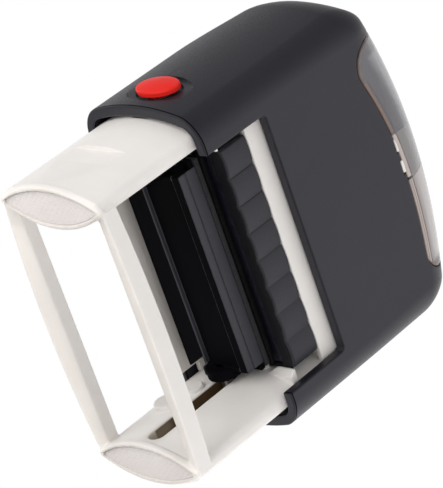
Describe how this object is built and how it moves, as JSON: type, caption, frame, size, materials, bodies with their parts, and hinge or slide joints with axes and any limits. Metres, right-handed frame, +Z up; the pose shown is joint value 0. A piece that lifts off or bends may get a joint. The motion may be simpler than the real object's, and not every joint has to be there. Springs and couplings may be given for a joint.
{
  "type": "self-inking stamp",
  "caption": "Self-inking hand stamp: a sprung case slides on a footed frame and flips a text plate from an ink pad down to the paper.",
  "frame": {"origin": "on the surface that the feet stand on, under the middle of the stamp", "axes": "+Z up, from the feet to the index window; +X along the long side; -Y is the front, where the ink cartridge comes out"},
  "size_m": [0.0772, 0.0338, 0.0852],
  "materials": {
    "white_plastic": "satin warm-white moulded plastic",
    "foot_pad": "pale grip pad with crossed grooves",
    "case_plastic": "fine-grained dark grey moulded plastic",
    "dark_plastic": "dark grey moulded plastic",
    "black_plastic": "black moulded plastic, lightly ink-stained",
    "ink_felt": "felt soaked with dark ink",
    "foam": "closed-cell foam sheet",
    "stamp_rubber": "blank stamp rubber",
    "steel": "drawn spring steel",
    "card": "white printed-card stock, blank",
    "smoke_window": "smoke-tinted clear plastic",
    "red_plastic": "satin red moulded plastic"
  },
  "bodies": {
    "base": {"base_frame": "white_plastic", "foot_pad_left": "foot_pad", "foot_pad_right": "foot_pad", "return_spring_left": "steel", "return_spring_right": "steel"},
    "cartridge": {"ink_tray": "dark_plastic", "ink_felt": "ink_felt"},
    "case": {"case_shell": "case_plastic", "drive_yoke": "white_plastic", "index_card": "card", "button_spring_left": "steel", "button_spring_right": "steel"},
    "platen_body": {"platen": "black_plastic", "plate_cushion": "foam", "text_plate": "stamp_rubber", "platen_pin_left": "steel", "platen_pin_right": "steel"},
    "window": {"index_window": "smoke_window"},
    "button_left": {"lock_button_left": "red_plastic"},
    "button_right": {"lock_button_right": "red_plastic"}
  },
  "joints": [
    {"name": "case_press", "type": "slide", "parent": "base", "child": "case", "axis": [0, 0, -1], "range_m": [0, 0.02], "stiffness_N_per_m": 1000, "springref_m": -0.012, "deforming": ["return_spring_left", "return_spring_right"]},
    {"name": "platen_flip", "type": "hinge", "parent": "case", "child": "platen_body", "pos_m": [0, 0, 0.0265], "axis": [1, 0, 0], "range_deg": [0, 180]},
    {"name": "cartridge_slide", "type": "slide", "parent": "base", "child": "cartridge", "axis": [0, 1, 0], "range_m": [-0.03, 0]},
    {"name": "window_lift", "type": "slide", "parent": "case", "child": "window", "axis": [0, 0, 1], "range_m": [0, 0.012]},
    {"name": "button_left_press", "type": "slide", "parent": "case", "child": "button_left", "axis": [1, 0, 0], "range_m": [0, 0.0005], "stiffness_N_per_m": 900, "springref_m": -0.001},
    {"name": "button_right_press", "type": "slide", "parent": "case", "child": "button_right", "axis": [-1, 0, 0], "range_m": [0, 0.0005], "stiffness_N_per_m": 900, "springref_m": -0.001}
  ],
  "couplings": [
    {"joint": "platen_flip", "follows": "case_press", "rad_per_m": 157.08}
  ]
}
